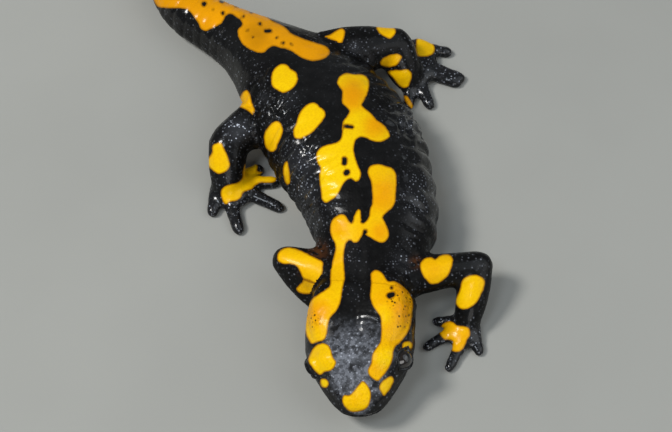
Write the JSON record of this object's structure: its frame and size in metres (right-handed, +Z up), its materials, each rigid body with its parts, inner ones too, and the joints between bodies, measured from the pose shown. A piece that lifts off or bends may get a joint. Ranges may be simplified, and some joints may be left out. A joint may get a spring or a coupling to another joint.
{
  "type": "fire salamander",
  "caption": "Life-size still model of an adult fire salamander resting on its belly, glossy black with yellow blotches, tail curved, legs splayed.",
  "frame": {"origin": "on the floor, under the middle of the outline", "axes": "+Z up, the head points towards -Y and the tail towards +Y, the animal's left side is +X"},
  "size_m": [0.0874, 0.1552, 0.0195],
  "materials": {
    "skin": "moist glossy black skin with yellow blotches",
    "eye": "wet and glossy, dark brown"
  },
  "bodies": {
    "root": {"head": "skin", "lower_jaw": "skin", "eye_left": "eye", "eye_right": "eye", "neck": "skin", "trunk_front": "skin", "trunk_rear": "skin", "pelvis": "skin", "tail_root": "skin", "tail_middle": "skin", "tail_end": "skin", "left_upper_arm": "skin", "left_forearm": "skin", "left_hand": "skin", "right_upper_arm": "skin", "right_forearm": "skin", "right_hand": "skin", "left_thigh": "skin", "left_shank": "skin", "left_foot": "skin", "right_thigh": "skin", "right_shank": "skin", "right_foot": "skin"}
  },
  "joints": []
}
